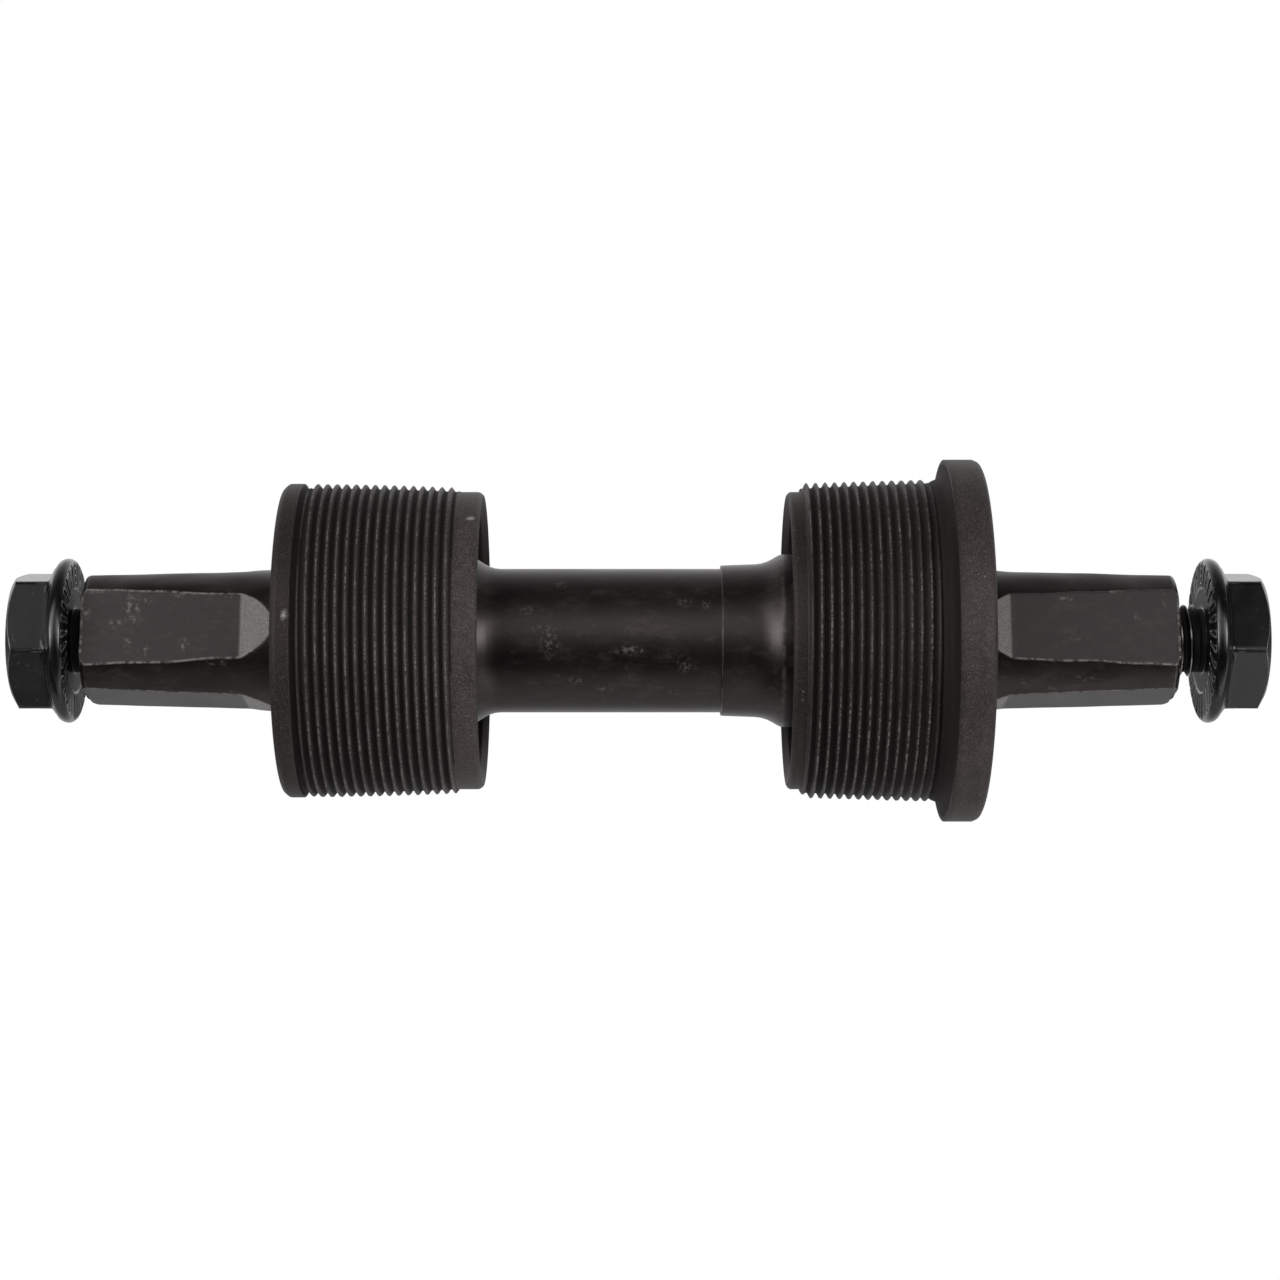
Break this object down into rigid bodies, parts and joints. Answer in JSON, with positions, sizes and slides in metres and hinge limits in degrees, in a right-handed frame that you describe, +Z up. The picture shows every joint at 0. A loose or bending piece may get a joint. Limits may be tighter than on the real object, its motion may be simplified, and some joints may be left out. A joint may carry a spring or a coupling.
{
  "type": "square taper bottom bracket",
  "caption": "Threaded bottom bracket with left and drive cups on sealed bearings, a square-taper spindle and a flanged hex bolt at each end of it.",
  "frame": {"origin": "middle of the frame shell, on the spindle's axis", "axes": "+X along the spindle to the drive side, +Z up, +Y to the back"},
  "size_m": [0.1368, 0.0398, 0.0398],
  "materials": {
    "oxide_spindle": "black oxide on forged steel, satin, with pale scuffs",
    "moulded_cup": "moulded black composite, matte with fine speckle",
    "oxide_bolt": "glossy black oxide with bare worn edges",
    "race_steel": "ground bearing steel",
    "ball_steel": "polished bearing steel",
    "cage_steel": "pressed steel strip",
    "seal_rubber": "matte moulded rubber"
  },
  "bodies": {
    "drive_cup": {"drive_cup": "moulded_cup", "drive_outer_race": "race_steel", "drive_inboard_seal": "seal_rubber", "drive_outboard_seal": "seal_rubber", "left_outer_race": "race_steel", "left_inboard_seal": "seal_rubber", "left_outboard_seal": "seal_rubber"},
    "spindle": {"spindle": "oxide_spindle", "left_inner_race": "race_steel", "drive_inner_race": "race_steel"},
    "left_ball_set": {"left_balls": "ball_steel", "left_cage_inboard": "cage_steel", "left_cage_outboard": "cage_steel", "left_cage_rivets": "cage_steel"},
    "drive_ball_set": {"drive_balls": "ball_steel", "drive_cage_inboard": "cage_steel", "drive_cage_outboard": "cage_steel", "drive_cage_rivets": "cage_steel"},
    "left_cup": {"left_cup": "moulded_cup"},
    "left_crank_bolt": {"left_crank_bolt": "oxide_bolt"},
    "drive_crank_bolt": {"drive_crank_bolt": "oxide_bolt"}
  },
  "joints": [
    {"name": "spindle_spin", "type": "hinge", "parent": "drive_cup", "child": "spindle", "pos_m": [0, 0, 0], "axis": [1, 0, 0], "continuous": true},
    {"name": "left_ball_orbit", "type": "hinge", "parent": "drive_cup", "child": "left_ball_set", "pos_m": [0, 0, 0], "axis": [1, 0, 0], "continuous": true},
    {"name": "drive_ball_orbit", "type": "hinge", "parent": "drive_cup", "child": "drive_ball_set", "pos_m": [0, 0, 0], "axis": [1, 0, 0], "continuous": true},
    {"name": "left_cup_travel", "type": "slide", "parent": "drive_cup", "child": "left_cup", "axis": [-1, 0, 0], "range_m": [0, 0.056]},
    {"name": "left_bolt_travel", "type": "slide", "parent": "spindle", "child": "left_crank_bolt", "axis": [-1, 0, 0], "range_m": [-0.0014, 0.0165]},
    {"name": "drive_bolt_travel", "type": "slide", "parent": "spindle", "child": "drive_crank_bolt", "axis": [1, 0, 0], "range_m": [-0.0032, 0.0147]}
  ],
  "couplings": [
    {"joint": "left_ball_orbit", "follows": "spindle_spin", "ratio": 0.4155},
    {"joint": "drive_ball_orbit", "follows": "spindle_spin", "ratio": 0.4155}
  ]
}
